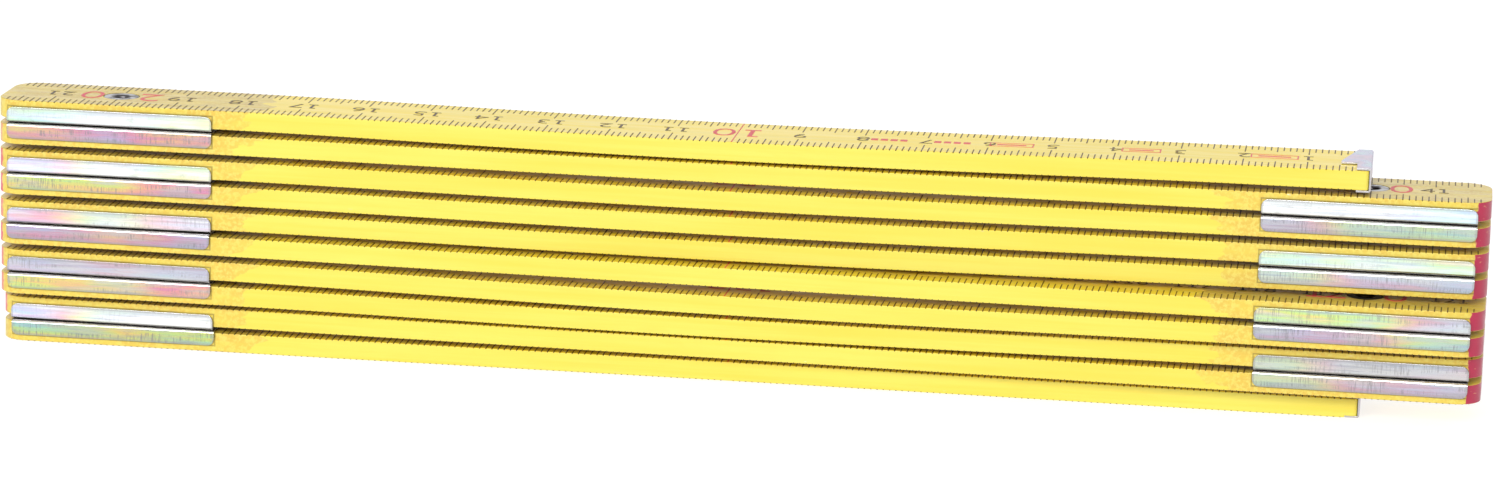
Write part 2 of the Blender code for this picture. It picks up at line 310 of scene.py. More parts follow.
class Shader:
    """A material under construction. Places are in millimetres in the piece's own frame."""

    def __init__(self, name):
        self.material = bpy.data.materials.new(name)
        self.material.use_nodes = True
        self.tree = self.material.node_tree
        self.surface = self.tree.nodes["Principled BSDF"]
        where = self.node("TexCoord").outputs
        self.place = self.scaled(where["Object"], (1000.0, 1000.0, 1000.0))
        self.normal = where["Normal"]
        split = self.node("SeparateXYZ", {"Vector": self.place}).outputs
        self.x, self.y, self.z = split[0], split[1], split[2]
        facing = self.node("SeparateXYZ", {"Vector": self.normal}).outputs
        self.nx, self.ny, self.nz = facing[0], facing[1], facing[2]

    def put(self, socket, value):
        if isinstance(value, bpy.types.NodeSocket):
            self.tree.links.new(value, socket)
        elif hasattr(socket.default_value, "__len__") and len(socket.default_value) == 4:
            socket.default_value = (*value, 1.0) if len(value) == 3 else value
        else:
            socket.default_value = value

    def node(self, kind, inputs=None, **settings):
        made = self.tree.nodes.new("ShaderNode" + kind)
        for name, value in settings.items():
            setattr(made, name, value)
        for name, value in (inputs or {}).items():
            self.put(made.inputs[name], value)
        return made

    def scaled(self, vector, factors, shift=(0.0, 0.0, 0.0)):
        made = self.node("VectorMath", operation="MULTIPLY_ADD")
        self.put(made.inputs[0], vector)
        self.put(made.inputs[1], factors)
        self.put(made.inputs[2], shift)
        return made.outputs[0]

    def math(self, operation, first, second=0.0, third=0.0, clamp=False):
        made = self.node("Math", operation=operation, use_clamp=clamp)
        for socket, value in zip(made.inputs, (first, second, third)):
            self.put(socket, value)
        return made.outputs[0]

    def times(self, first, second):
        return self.math("MULTIPLY", first, second)

    def plus(self, first, second):
        return self.math("ADD", first, second)

    def minus(self, first, second):
        return self.math("SUBTRACT", first, second)

    def size(self, value):
        return self.math("ABSOLUTE", value)

    def ramp(self, value, low, high, out_low=0.0, out_high=1.0):
        made = self.node("MapRange", {"Value": value}, interpolation_type="SMOOTHSTEP", clamp=True)
        self.put(made.inputs["From Min"], low)
        self.put(made.inputs["From Max"], high)
        self.put(made.inputs["To Min"], out_low)
        self.put(made.inputs["To Max"], out_high)
        return made.outputs[0]

    def noise(self, per_mm, seed, detail=2.0, rough=0.5):
        """Noise with this many features a millimetre along each axis."""
        shifted = self.scaled(self.place, per_mm, (seed * 7.31, seed * 3.17, seed * 5.77))
        inputs = {"Vector": shifted, "Scale": 1.0, "Detail": detail, "Roughness": rough}
        return self.node("TexNoise", inputs).outputs[0]

    def mix(self, share, first, second, blend="MIX"):
        made = self.node("Mix", data_type="RGBA", blend_type=blend)
        self.put(made.inputs[0], share)
        self.put(made.inputs[6], first)
        self.put(made.inputs[7], second)
        return made.outputs[2]

    def colours(self, value, stops):
        made = self.node("ValToRGB", {"Fac": value})
        ramp = made.color_ramp
        while len(ramp.elements) < len(stops):
            ramp.elements.new(0.5)
        for element, (at, colour) in zip(ramp.elements, stops):
            element.position = at
            element.color = (*colour, 1.0)
        return made.outputs[0]

    def bump(self, height, strength, distance_mm):
        inputs = {"Height": height, "Strength": strength, "Distance": distance_mm * MM}
        self.put(self.surface.inputs["Normal"], self.node("Bump", inputs).outputs[0])

    def finish(self, colour, roughness, metallic=0.0, **constants):
        self.put(self.surface.inputs["Base Color"], colour)
        self.put(self.surface.inputs["Roughness"], roughness)
        self.surface.inputs["Metallic"].default_value = metallic
        for name, value in constants.items():
            socket = name.replace("_", " ").title().replace("Ior", "IOR")
            self.surface.inputs[socket].default_value = value
        return self.material


# ---------------------------------------------------------------- Materials


LEMON = (0.68, 0.60, 0.082)
WARM_LEMON = (0.675, 0.55, 0.05)
WIDE_FACE_PAINTED_LIGHT = (0.96, 0.73, 0.035)
HINGE_TINT = (0.62, 0.415, 0.05)
SPECKLE = (0.67, 0.54, 0.10)
CRIMSON = (0.40, 0.006, 0.05)
FADED_RED = (0.62, 0.075, 0.075)
PINK_FRINGE = (0.86, 0.42, 0.26)
PAINTED_PLATE_SHADOW = (0.20, 0.14, 0.012)
WORN_EDGE = (0.74, 0.55, 0.06)
BARE_GRAIN = (0.62, 0.47, 0.22)
BARE_WOOD = (0.86, 0.74, 0.46)
PLATE_SMUDGE = (0.30, 0.285, 0.27)
PLATE_SCUFF = (0.26, 0.25, 0.27)
PLATE_RIM_SCUFF = (0.36, 0.35, 0.34)
PLATE_CUT = (0.24, 0.23, 0.21)
# Painted shade on the upper plate's bend beside the other plate, and a painted highlight on the lower
# one's
UPPER_BEND_PAINTED_SHADE = (0.12, 0.11, 0.10)
LOWER_BEND_PAINTED_HIGHLIGHT = (0.86, 0.85, 0.84)
RAINBOW = (
    (0.0, (0.30, 0.44, 0.60)),
    (0.14, (0.36, 0.60, 0.46)),
    (0.3, (0.48, 0.62, 0.22)),
    (0.42, (0.66, 0.54, 0.19)),
    (0.56, (0.68, 0.36, 0.26)),
    (0.7, (0.60, 0.25, 0.36)),
    (0.86, (0.42, 0.36, 0.56)),
    (1.0, (0.30, 0.44, 0.60)),
)


def hinge_zone(shader, pivot_x, seed):
    """1 near a hinge, where the lacquer is thicker and darker, with a wandering slanted edge."""
    away = shader.size(shader.minus(shader.x, pivot_x))
    wander = shader.noise((0.16, 0.22, 0.5), seed, 3.0)
    slant = shader.times(shader.z, 0.9)
    reach = shader.plus(shader.plus(shader.times(wander, 13.0), 14.8), slant)
    return shader.ramp(shader.minus(reach, away), -0.2, 0.2)


def plate_outline(shader, pivot_x, flange_up):
    """1 in a thin line of painted shadow on the slat's sides, round where a plate's flange ends."""
    along = shader.minus(shader.size(shader.minus(shader.x, pivot_x)), PLATE_LENGTH / 2)
    over = SLAT_GAP / 2 - CAP_FIT
    if flange_up:
        up = shader.minus(shader.z, FLANGE_HEIGHT - over)
    else:
        up = shader.minus(THICKNESS - FLANGE_HEIGHT + over, shader.z)
    past = shader.math("MAXIMUM", along, up)
    line = shader.times(shader.ramp(past, -0.1, 0.0), shader.ramp(past, 0.26, 0.1))
    return shader.times(line, shader.ramp(shader.size(shader.ny), 0.6, 0.8))


def end_paint(shader, end_x, side, strength, seed):
    """1 on the painted end face and round its corners, further round them where the paint is full."""
    beyond = shader.times(shader.minus(shader.x, end_x), side)
    wander = shader.times(shader.noise((0.9, 0.9, 0.9), seed, 2.0), 0.9)
    inner = -1.85 if strength == 1.0 else -0.55
    reach = shader.ramp(shader.plus(beyond, wander), inner, inner + 0.2)
    upright = shader.ramp(shader.size(shader.nz), 0.75, 0.45)
    bare = shader.ramp(shader.noise((0.8, 0.8, 1.6), seed + 1.7, 3.0), 0.62 - 0.3 * strength, 0.3)
    full = shader.times(reach, upright)
    patchy = shader.minus(1.0, shader.times(bare, 0.9 - 0.6 * strength))
    return shader.times(shader.times(full, patchy), min(1.0, strength + 0.25)), full


def lacquered_wood(number, hinges, ends):
    """Yellow lacquer over wood: streaks, a darker zone at each hinge, painted ends, small chips.

    hinges lists the places of the hinges along the slat; ends lists (place, side, strength) of the ends.
    """
    shader = Shader(f"yellow_lacquer_{number:02d}")
    seed = 3.0 + 1.9 * number
    streaks = shader.noise((0.02, 0.9, 1.3), seed, 3.0, 0.6)
    clouds = shader.noise((0.025, 0.08, 0.3), seed + 2.0, 2.0)
    tone = shader.ramp(shader.plus(shader.times(streaks, 0.5), shader.times(clouds, 0.5)), 0.35, 0.68)
    colour = shader.mix(tone, WARM_LEMON, LEMON)
    # The wide faces get a brighter, deeper gold than the narrow sides: painted light, so that the floors
    # of the gaps between slats look lit
    face = shader.ramp(shader.size(shader.nz), 0.5, 0.85)
    colour = shader.mix(shader.times(face, shader.ramp(tone, 0.0, 1.0, 1.0, 0.75)), colour, WIDE_FACE_PAINTED_LIGHT)

    zone = 0.0
    for turn, place in enumerate(hinges):
        zone = shader.math("MAXIMUM", hinge_zone(shader, place, seed + 4.0 + turn), zone)
    speckle = shader.ramp(shader.noise((1.6, 1.6, 1.6), seed + 6.0, 3.0, 0.7), 0.42, 0.62)
    tinted = shader.mix(speckle, HINGE_TINT, SPECKLE)
    blotch = shader.ramp(shader.noise((0.2, 0.4, 0.5), seed + 7.0, 2.0), 0.3, 0.7, 0.6, 1.0)
    colour = shader.mix(shader.times(zone, blotch), colour, tinted)
    # A painted shadow line on the slat's sides, round each plate's flange
    for place in hinges:
        outline = plate_outline(shader, place, place < SPACING / 2)
        colour = shader.mix(shader.times(outline, 0.7), colour, PAINTED_PLATE_SHADOW)

    # Dirt and thinner lacquer along the long edges
    from_side = shader.minus(HALF_WIDTH, shader.size(shader.y))
    edge = shader.ramp(from_side, 0.5, 0.12)
    rubbed = shader.ramp(shader.noise((0.12, 0.6, 0.9), seed + 8.0, 3.0, 0.6), 0.5, 0.72)
    colour = shader.mix(shader.times(shader.times(edge, rubbed), 0.45), colour, WORN_EDGE)

    # Chips that show the wood, on the outer edges only
    rims = shader.ramp(shader.size(shader.minus(shader.z, THICKNESS / 2)), 0.75, 1.4)
    chips = shader.ramp(shader.noise((0.22, 0.9, 0.7), seed + 9.0, 3.0, 0.6), 0.71, 0.735)
    chips = shader.times(chips, shader.times(edge, rims))
    grain = shader.noise((0.25, 4.0, 4.0), seed + 10.0, 2.0)
    bare = shader.mix(shader.ramp(grain, 0.35, 0.65), BARE_GRAIN, BARE_WOOD)
    colour = shader.mix(chips, colour, bare)

    for turn, (place, side, strength) in enumerate(ends):
        paint, reach = end_paint(shader, place, side, strength, seed + 12.0 + turn)
        fringe = shader.times(reach, 0.55 * min(1.0, 2 * strength))
        colour = shader.mix(fringe, colour, PINK_FRINGE)
        colour = shader.mix(paint, colour, CRIMSON if strength == 1.0 else FADED_RED)

    fine = shader.noise((0.12, 3.0, 3.4), seed + 14.0, 3.0, 0.6)
    peel = shader.noise((0.8, 0.8, 0.8), seed + 15.0, 2.0)
    height = shader.plus(shader.times(fine, 0.6), shader.times(peel, 0.5))
    height = shader.minus(height, shader.times(chips, 0.8))
    shader.bump(height, 0.35, 0.05)
    rough = shader.ramp(shader.noise((0.06, 0.7, 0.7), seed + 16.0, 3.0), 0.3, 0.7, 0.3, 0.46)
    rough = shader.math("MAXIMUM", rough, shader.times(chips, 0.75))
    return shader.finish(colour, rough, specular_ior_level=0.5, coat_weight=0.25, coat_roughness=0.18)


def printed_ink(name, colour, worn):
    """Printing ink, a little thin and broken where it has rubbed."""
    shader = Shader(name)
    thin = shader.ramp(shader.noise((1.5, 1.5, 1.5), 4.0, 3.0, 0.6), 0.38, 0.75)
    rubbed = shader.ramp(shader.noise((0.06, 0.3, 0.3), 9.0, 2.0), 0.45, 0.75)
    share = shader.plus(shader.times(thin, 0.45), shader.times(rubbed, 0.35))
    shader.bump(shader.noise((3.0, 3.0, 3.0), 6.0, 2.0), 0.3, 0.01)
    rough = shader.ramp(thin, 0.0, 1.0, 0.4, 0.6)
    return shader.finish(shader.mix(share, colour, worn), rough, specular_ior_level=0.32)


def three_stops(shader, along, values):
    """A value that goes from the first to the second over one half, and to the third over the other."""
    first = shader.ramp(along, 0.0, 0.5, values[0], values[1])
    return shader.plus(first, shader.ramp(along, 0.5, 1.0, 0.0, values[2] - values[1]))


def zinc_plate(name, seed, way, upper, hues, tints, brightness_and_painted_reflection):
    """Bright zinc plate with a rainbow passivation in long soft bands.

    way is 1 or -1, for the plate's +X or -X end being the right one. hues and tints give the place along
    the rainbow and the strength of the colour at the left end, in the middle and at the right end. The
    last argument is how bright the metal is; it is set higher on the upper plates as a painted reflection
    of the light from above.
    """
    shader = Shader(name)
    along = shader.ramp(shader.times(shader.x, way), -PLATE_LENGTH / 2, PLATE_LENGTH / 2)
    band = shader.noise((0.07, 0.25, 0.6), seed, 3.0, 0.5)
    ripple = shader.noise((0.08, 0.6, 2.2), seed + 3.0, 3.0, 0.6)
    wander = shader.plus(shader.times(band, 0.8), shader.times(ripple, 0.35))
    hue = shader.plus(shader.plus(three_stops(shader, along, hues), -0.575), wander)
    # The rainbow starts again past its end, and is brighter on brighter metal
    gain = 0.6 + brightness_and_painted_reflection
    stops = [(at, tuple(min(value * gain, 1.0) for value in tint)) for at, tint in RAINBOW]
    rainbow = shader.colours(shader.math("FRACT", hue), stops)
    strong = three_stops(shader, along, tints)
    uneven = shader.ramp(shader.noise((0.12, 0.4, 0.9), seed + 5.0, 2.0), 0.3, 0.62, 0.35, 1.1)
    strong = shader.math("MULTIPLY", strong, uneven, clamp=True)
    dull = tuple(value * brightness_and_painted_reflection for value in (0.74, 0.765, 0.80))
    bright = tuple(value * brightness_and_painted_reflection for value in (1.0, 1.0, 0.985))
    # Duller towards the flange's free edge
    upward = shader.ramp(shader.z, CAP_FIT + FLANGE_HEIGHT, CAP_FIT + 0.8, -0.14, 0.06)
    metal = shader.mix(shader.ramp(shader.plus(ripple, upward), 0.38, 0.56), dull, bright)
    colour = shader.mix(strong, metal, rainbow)
    smudge = shader.ramp(shader.noise((0.3, 0.8, 0.8), seed + 7.0, 3.0, 0.65), 0.56, 0.78, 0.0, 0.35)
    colour = shader.mix(smudge, colour, PLATE_SMUDGE)
    # Rubbing against other things leaves short upright scuffs, on the duller plates most
    scuff = shader.ramp(shader.noise((5.0, 0.3, 0.45), seed + 13.0, 2.0, 0.6), 0.5, 0.64)
    rubbed = shader.ramp(shader.noise((0.09, 0.2, 0.9), seed + 15.0, 1.0), 0.44, 0.56, 0.0, 1.1 - brightness_and_painted_reflection)
    colour = shader.mix(shader.times(scuff, rubbed), colour, PLATE_SCUFF)
    # The bend beside the other plate: painted shade on the upper one, a painted highlight on the lower
    # one
    bend = shader.ramp(shader.nz, -0.2, -0.75)
    colour = shader.mix(bend, colour, UPPER_BEND_PAINTED_SHADE if upper else LOWER_BEND_PAINTED_HIGHLIGHT)
    # Just inside its cut edges the plate is scuffed, and the edges themselves are bare steel
    rim = shader.math("MAXIMUM", shader.minus(shader.size(shader.x), PLATE_LENGTH / 2 - 0.35),
                      shader.minus(shader.z, CAP_FIT + FLANGE_HEIGHT - 0.35))
    scuffed = shader.ramp(rim, -0.12, 0.2)
    colour = shader.mix(shader.times(scuffed, 0.55), colour, PLATE_RIM_SCUFF)
    sheared = shader.ramp(shader.math("MAXIMUM", shader.size(shader.nx), shader.nz), 0.5, 0.85)
    colour = shader.mix(shader.times(sheared, 0.8), colour, PLATE_CUT)
    drawn = shader.noise((0.09, 3.0, 7.0), seed + 9.0, 3.0, 0.6)
    dents = shader.noise((0.2, 0.5, 0.6), seed + 11.0, 2.0)
    shader.bump(shader.plus(shader.times(drawn, 0.35), shader.times(dents, 1.2)), 0.3, 0.05)
    rough = shader.ramp(drawn, 0.25, 0.75, 0.16, 0.32)
    return shader.finish(colour, rough, 1.0)


def rivet_steel(name, seed, aged):
    """Plain plated steel, grey and rubbed, darker inside the bore; aged is 1 where it has gone brown."""
    shader = Shader(name)
    squares = shader.plus(shader.times(shader.x, shader.x), shader.times(shader.y, shader.y))
    across = shader.math("SQRT", squares)
    bore = shader.ramp(across, 1.95, 1.25)
    spots = shader.ramp(shader.noise((0.9, 0.9, 0.9), seed, 3.0, 0.6), 0.4, 0.7)
    colour = shader.mix(spots, (0.40, 0.40, 0.43), (0.20, 0.195, 0.19))
    colour = shader.mix(shader.times(bore, 0.8), colour, (0.10, 0.09, 0.09))
    rim = shader.times(shader.ramp(across, 2.2, 2.4), shader.ramp(shader.size(shader.nz), 0.95, 0.7))
    colour = shader.mix(rim, colour, (0.05, 0.035, 0.01))
    colour = shader.mix(0.85 * aged, colour, (0.09, 0.07, 0.03))
    shader.bump(shader.noise((2.2, 2.2, 2.2), seed + 2.0, 3.0), 0.35, 0.03)
    rough = shader.ramp(spots, 0.0, 1.0, 0.3 + 0.2 * aged, 0.5 + 0.2 * aged)
    return shader.finish(colour, rough, 1.0)


def cap_steel(name, seed):
    """Zinc plate with a lilac tint and a pinkish middle."""
    shader = Shader(name)
    band = shader.noise((0.3, 0.22, 0.5), seed, 2.0)
    colour = shader.colours(
        shader.ramp(band, 0.25, 0.75),
        [
            (0.0, (0.44, 0.54, 0.60)),
            (0.3, (0.50, 0.49, 0.64)),
            (0.6, (0.64, 0.53, 0.62)),
            (1.0, (0.56, 0.57, 0.66)),
        ],
    )
    smudge = shader.ramp(shader.noise((0.9, 0.9, 0.9), seed + 3.0, 3.0, 0.6), 0.5, 0.75, 0.0, 0.4)
    colour = shader.mix(smudge, colour, (0.34, 0.33, 0.36))
    # Painted shade: the faces that look to the front and back are a plain grey, so their reflection of
    # the bright floor does not show white
    upright = shader.ramp(shader.size(shader.ny), 0.6, 0.9)
    colour = shader.mix(upright, colour, (0.52, 0.50, 0.50))
    shader.bump(shader.noise((1.2, 1.2, 1.2), seed + 5.0, 3.0), 0.3, 0.04)
    return shader.finish(colour, shader.ramp(band, 0.2, 0.8, 0.24, 0.4), 1.0)


# ---------------------------------------------------------------- Slats


def slat_blank(number):
    """A slat's bar with rounded corners and edges, cut across so that it can bow."""
    low, high = slat_span(number)
    low_radius, high_radius = end_radii(number)
    work = box((low, -HALF_WIDTH, FACE_INSET), (high, HALF_WIDTH, THICKNESS - FACE_INSET))
    for place, radius in ((low, low_radius), (high, high_radius)):
        uprights = []
        for edge in work.edges:
            first, second = edge.verts
            upright = abs(first.co.z - second.co.z) > 1
            if upright and abs(first.co.x - place) < 0.01:
                uprights.append(edge)
        bmesh.ops.bevel(
            work, geom=uprights, offset=radius, segments=CORNER_STEPS, profile=0.5, affect="EDGES"
        )
    rims = [edge for edge in work.edges if edge.calc_face_angle(0) > math.radians(60)]
    bmesh.ops.bevel(
        work, geom=rims, offset=EDGE_ROUND, segments=ROUND_STEPS, profile=0.5, affect="EDGES"
    )
    for step in range(1, CUTS_ALONG):
        at = low + (high - low) * step / CUTS_ALONG
        everything = work.verts[:] + work.edges[:] + work.faces[:]
        bmesh.ops.bisect_plane(work, geom=everything, plane_co=(at, 0, 0), plane_no=(1, 0, 0))
    return link("slat", mesh_of(work, "slat"))


def seat_cutter(radius, place, underside):
    """A rivet's bore with its wider seat in the top face, or in the underside."""
    floor = THICKNESS - SEAT_DEPTH
    mouth = THICKNESS + CUT_PAST
    bore = SHANK_RADIUS + SEAT_FIT
    seat = radius + SEAT_FIT
    profile = (
        (0, mouth), (seat, mouth), (seat, floor), (bore, floor), (bore, -CUT_PAST), (0, -CUT_PAST),
    )
    cutter = turned("seat", profile, False)
    if underside:
        cutter.rotation_euler.x = math.pi
        cutter.location = (place, 0, THICKNESS)
    else:
        cutter.location = (place, 0, 0)
    return cutter


def bowed(mesh, number):
    for vert in mesh.vertices:
        vert.co.z += bow_at(number, vert.co.x)
    return mesh


def slat_mesh(number):
    blank = slat_blank(number)
    cutters = []
    if number < SLAT_COUNT:
        cutters.append(seat_cutter(HEAD_RADIUS, 0, False))
    else:
        start, depth = CAP_LEG + CAP_FIT, CAP_SHEET + CAP_FIT
        side = HALF_WIDTH + CUT_PAST
        rebate = box((-CUT_PAST, -side, -CUT_PAST), (start, side, depth))
        cutters.append(link("rebate", mesh_of(rebate, "rebate")))
    if number > 1:
        cutters.append(seat_cutter(TAIL_RADIUS, SPACING, True))
    cut_with(blank, cutters)
    mesh = settled(blank, f"slat_wood_{number:02d}")
    drop(cutters)
    return scaled(bowed(mesh, number))


# How much paint is left on a slat's left end and on its right end
END_PAINT = {
    2: (0.25, 1.0), 3: (0.7, 1.0), 4: (0.9, 1.0), 5: (0.5, 1.0), 6: (0.8, 1.0),
    7: (0.6, 1.0), 8: (0.5, 1.0), 9: (0.7, 1.0),
}


def add_slats():
    for number in range(1, SLAT_COUNT + 1):
        low, high = slat_span(number)
        hinges = [0.0] * (number < SLAT_COUNT) + [SPACING] * (number > 1)
        ends = []
        if number in END_PAINT:
            left, right = END_PAINT[number]
            # Odd slats have their lower pivot at the left, even ones at the right
            first, second = (left, right) if number % 2 else (right, left)
            ends = [(low, -1.0, first), (high, 1.0, second)]
        look = lacquered_wood(number, hinges, ends)
        add_piece(
            f"slat_wood_{number:02d}", slat_mesh(number), [look], slat_frame(number), segment(number),
            "yellow_lacquered_wood", f"slat_{number:02d}",
        )


# ---------------------------------------------------------------- The printed scale


class Print:
    """Closed thin solids of one ink, on one face of one slat, in the slat's own frame."""

    def __init__(self):
        self.points = []
        self.faces = []

    def strip(self, stations, half_stroke, x):
        """A stroke across the slat that follows (across, up, inner across, inner up) stations."""
        start = len(self.points)
        for across, up, inner_across, inner_up in stations:
            for side in (-half_stroke, half_stroke):
                self.points.append((x + side, across, up))
            for side in (-half_stroke, half_stroke):
                self.points.append((x + side, inner_across, inner_up))
        # Each station has four points: outer left, outer right, inner left, inner right
        for step in range(len(stations) - 1):
            one = start + 4 * step
            two = one + 4
            self.faces.append((one, one + 1, two + 1, two))
            self.faces.append((one + 3, one + 2, two + 2, two + 3))
            self.faces.append((one + 2, one, two, two + 2))
            self.faces.append((one + 1, one + 3, two + 3, two + 1))
        last = start + 4 * (len(stations) - 1)
        self.faces.append((start + 1, start, start + 2, start + 3))
        self.faces.append((last, last + 1, last + 3, last + 2))

    def outline(self, points, triangles, top, bottom):
        """A flat shape of triangles, thickened from bottom to top."""
        start, count = len(self.points), len(points)
        self.points.extend((x, y, top) for x, y in points)
        self.points.extend((x, y, bottom) for x, y in points)
        sides = {}
        for first, second, third in triangles:
            self.faces.append((start + first, start + second, start + third))
            self.faces.append((start + count + third, start + count + second, start + count + first))
            for one, two in ((first, second), (second, third), (third, first)):
                sides[(one, two)] = True
        for one, two in sides:
            if (two, one) not in sides:
                self.faces.append((start + two, start + one, start + count + one, start + count + two))

    def turned_over(self):
        """The same print on the underside."""
        self.points = [(x, -y, THICKNESS - z) for x, y, z in self.points]

    def take(self, other):
        start = len(self.points)
        self.points.extend(other.points)
        self.faces.extend(tuple(start + index for index in face) for face in other.faces)

    def mesh(self, name, number):
        mesh = bpy.data.meshes.new(name)
        mesh.from_pydata([(x, y, z + bow_at(number, x)) for x, y, z in self.points], [], self.faces)
        mesh.update()
        work = bmesh.new()
        work.from_mesh(mesh)
        bmesh.ops.recalc_face_normals(work, faces=work.faces)
        work.to_mesh(mesh)
        work.free()
        return scaled(mesh)


GLYPHS = {}


def slab_one():
    """A one with a flag and a foot, on a grid of four lines across and four up."""
    across = (-0.22, -0.06, 0.06, 0.22)
    up = (-0.5, -0.4, 0.4, 0.5)
    points = [(x, y) for y in up for x in across]
    triangles = []
    for column, row in ((0, 0), (1, 0), (2, 0), (1, 1), (1, 2), (0, 2)):
        corner = 4 * row + column
        triangles.append((corner, corner + 1, corner + 5))
        triangles.append((corner, corner + 5, corner + 4))
    used = sorted({index for triangle in triangles for index in triangle})
    renumbered = [tuple(used.index(index) for index in triangle) for triangle in triangles]
    return [points[index] for index in used], renumbered


def glyph(character):
    """A numeral as flat triangles, one unit tall, its middle at the origin: (points, triangles)."""
    if character == "1" and character not in GLYPHS:
        GLYPHS[character] = slab_one()
    if character in GLYPHS:
        return GLYPHS[character]
    curve = bpy.data.curves.new("numeral", "FONT")
    curve.body = character
    curve.resolution_u = 3
    curve.offset = -0.012
    thing = link("numeral", curve)
    bpy.context.view_layer.update()
    mesh = bpy.data.meshes.new_from_object(thing.evaluated_get(bpy.context.evaluated_depsgraph_get()))
    bpy.data.objects.remove(thing, do_unlink=True)
    work = bmesh.new()
    work.from_mesh(mesh)
    bmesh.ops.remove_doubles(work, verts=work.verts, dist=0.0005)
    bmesh.ops.triangulate(work, faces=work.faces)
    bmesh.ops.dissolve_degenerate(work, edges=work.edges, dist=0.0005)
    bmesh.ops.triangulate(work, faces=work.faces)
    across = [vert.co.x for vert in work.verts]
    up = [vert.co.y for vert in work.verts]
    tall = max(up) - min(up)
    middle = ((max(across) + min(across)) / 2, (max(up) + min(up)) / 2)
    work.verts.index_update()
    points = [((vert.co.x - middle[0]) / tall, (vert.co.y - middle[1]) / tall) for vert in work.verts]
    triangles = []
    for face in work.faces:
        corners = [vert.index for vert in face.verts]
        triangles.append(tuple(corners if face.normal.z > 0 else reversed(corners)))
    work.free()
    GLYPHS[character] = (points, triangles)
    return GLYPHS[character]


def print_digit(ink, character, x, height, wide):
    """A numeral on the top face; it reads towards -X, with its top towards -Y."""
    points, triangles = glyph(character)
    placed = [(x - across * height * wide, -up * height) for across, up in points]
    ink.outline(placed, triangles, THICKNESS + INK_PROUD, THICKNESS - INK_DEPTH)


def print_number(ink, value, x, pitch, wide, shift=0.0):
    text = str(value)
    for turn, character in enumerate(text):
        along = (turn - (len(text) - 1) / 2) * pitch + shift
        print_digit(ink, character, x - along, NUMBER_HEIGHT, wide)


def print_ten(ink, value, x, pitch):
    """A multiple of ten, with its last digit on one side of the mark and the others on the other."""
    text = str(value)
    print_digit(ink, text[-1], x - pitch / 2, TEN_HEIGHT, TEN_WIDE)
    for turn, character in enumerate(reversed(text[:-1])):
        print_digit(ink, character, x + pitch / 2 + turn * NEXT_DIGIT, TEN_HEIGHT, TEN_WIDE)


def tick_stations(side, half, length, wrap):
    """A tick's path from its inner end out to the slat's edge, and over the rounded edge if it wraps."""
    top, under = THICKNESS + INK_PROUD, THICKNESS - INK_DEPTH
    stations = [(HALF_WIDTH - length, top, HALF_WIDTH - length, under)]
    if not wrap:
        stations.append((half - TICK_END, top, half - TICK_END, under))
    else:
        centre = (half - EDGE_ROUND, THICKNESS - FACE_INSET - EDGE_ROUND)
        outer = arc(centre, EDGE_ROUND + FACE_INSET + SIDE_PROUD, 90, 8, 4)
        inner = arc(centre, EDGE_ROUND - INK_DEPTH, 90, 8, 4)
        for out, into in zip(outer, inner):
            stations.append((min(out[0], half + SIDE_PROUD), min(out[1], top), into[0], into[1]))
    return [(side * a, b, side * c, d) for a, b, c, d in stations]


def mark_kind(mark):
    """10 for a centimetre mark, 5 for a half centimetre, 1 for a millimetre."""
    if mark % 10 == 0:
        return 10
    return 5 if mark % 5 == 0 else 1


def full_mark_stations():
    """The path of a mark that goes right across the face."""
    side, top, under = HALF_WIDTH - FULL_MARK_END, THICKNESS + INK_PROUD, THICKNESS - INK_DEPTH
    return [(-side, top, -side, under), (side, top, side, under)]


def face_print(number, low, high, hole):
    """Ticks and numbers of one face between two places along it, with a rivet at hole: (black, red)."""
    black, red = Print(), Print()
    wood_low, wood_high = slat_span(number)
    radii = end_radii(number)
    for mark in range(int(number * SPACING - high), int(number * SPACING - low) + 2):
        x = number * SPACING - mark
        if not low <= x <= high:
            continue
        half = half_at(x, wood_low, wood_high, *radii)
        near_corner = half < HALF_WIDTH - 0.001
        at_rivet = hole is not None and abs(x - hole) < 0.5
        if mark % 100 == 0 and not at_rivet and not near_corner:
            red.strip(full_mark_stations(), STROKE / 2, x)
        else:
            length = TICK_LENGTHS[mark_kind(mark)]
            if half > HALF_WIDTH - length + 1.0:
                for side in (-1, 1):
                    black.strip(tick_stations(side, half, length, not near_corner), STROKE / 2, x)
        if mark % 10 or mark == 0:
            continue
        value = mark // 10
        is_ten = value % 10 == 0
        if x - low < NUMBER_CLEAR or is_ten and high - x < TEN_CLEAR:
            continue
        if is_ten:
            print_ten(red, value, x, RIVET_TEN_PITCH if at_rivet else TEN_PITCH)
        elif value >= 100:
            print_number(black, value, x, LONG_NUMBER_PITCH, LONG_NUMBER_WIDE, LONG_NUMBER_SHIFT)
        else:
            print_number(black, value, x, NUMBER_PITCH, NUMBER_WIDE)
    return black, red


def print_bar(ink, low_x, high_x, half_tall, middle_y=0.0):
    low_y, high_y = middle_y - half_tall, middle_y + half_tall
    points = [(low_x, low_y), (high_x, low_y), (high_x, high_y), (low_x, high_y)]
    ink.outline(points, [(0, 1, 2), (0, 2, 3)], THICKNESS + INK_PROUD, THICKNESS - INK_DEPTH)


def print_panel(ink, low_x, high_x):
    """A plain outlined panel with a plain bar in it."""
    for side in (-1, 1):
        print_bar(ink, low_x, high_x, PANEL_LINE / 2, side * (PANEL_HALF - PANEL_LINE / 2))
    for start in (low_x, high_x - PANEL_LINE):
        print_bar(ink, start, start + PANEL_LINE, PANEL_HALF - PANEL_LINE)
    print_bar(ink, low_x + PANEL_MARGIN, high_x - PANEL_MARGIN, PANEL_BAR_HALF)


def add_ornaments(red):
    """Plain red shapes between the first marks, where such a rule has its printed marks."""
    for low_mark, high_mark in PANELS:
        print_panel(red, SPACING - high_mark, SPACING - low_mark)
    for first_mark in BLOCK_ROWS:
        for turn in range(BLOCKS_A_ROW):
            start = SPACING - first_mark - BLOCK_PITCH * turn
            print_bar(red, start - BLOCK_LENGTH, start, BLOCK_HALF)


